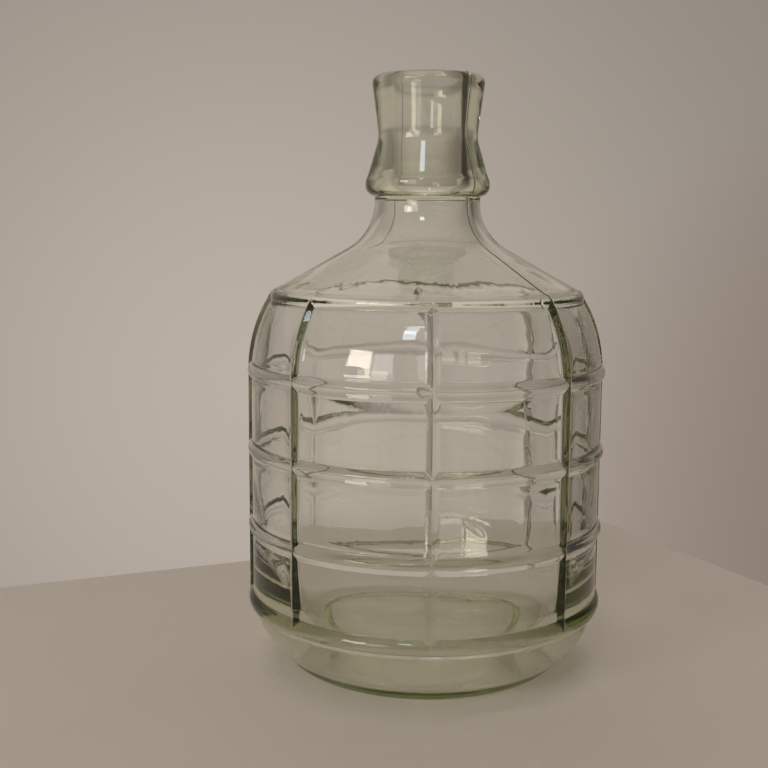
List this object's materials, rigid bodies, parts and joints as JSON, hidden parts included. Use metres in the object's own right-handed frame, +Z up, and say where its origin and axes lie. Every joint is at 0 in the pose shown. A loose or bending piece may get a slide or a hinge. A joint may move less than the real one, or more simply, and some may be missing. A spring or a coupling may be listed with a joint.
{
  "type": "glass demijohn",
  "caption": "Moulded glass demijohn with upright ribs crossed by rings, a sloping shoulder and a collared neck with a round mouth for a bung.",
  "frame": {"origin": "centre of the circle that the bottle rests on, on the bottle's axis", "axes": "+Z up along the bottle's axis, out of the mouth; -Y through the middle of a rib"},
  "size_m": [0.1886, 0.1886, 0.3082],
  "materials": {
    "glass": "clear moulded glass with a pale green tint, fire-polished, slightly wavy"
  },
  "bodies": {
    "root": {"glass_bottle": "glass"}
  },
  "joints": []
}
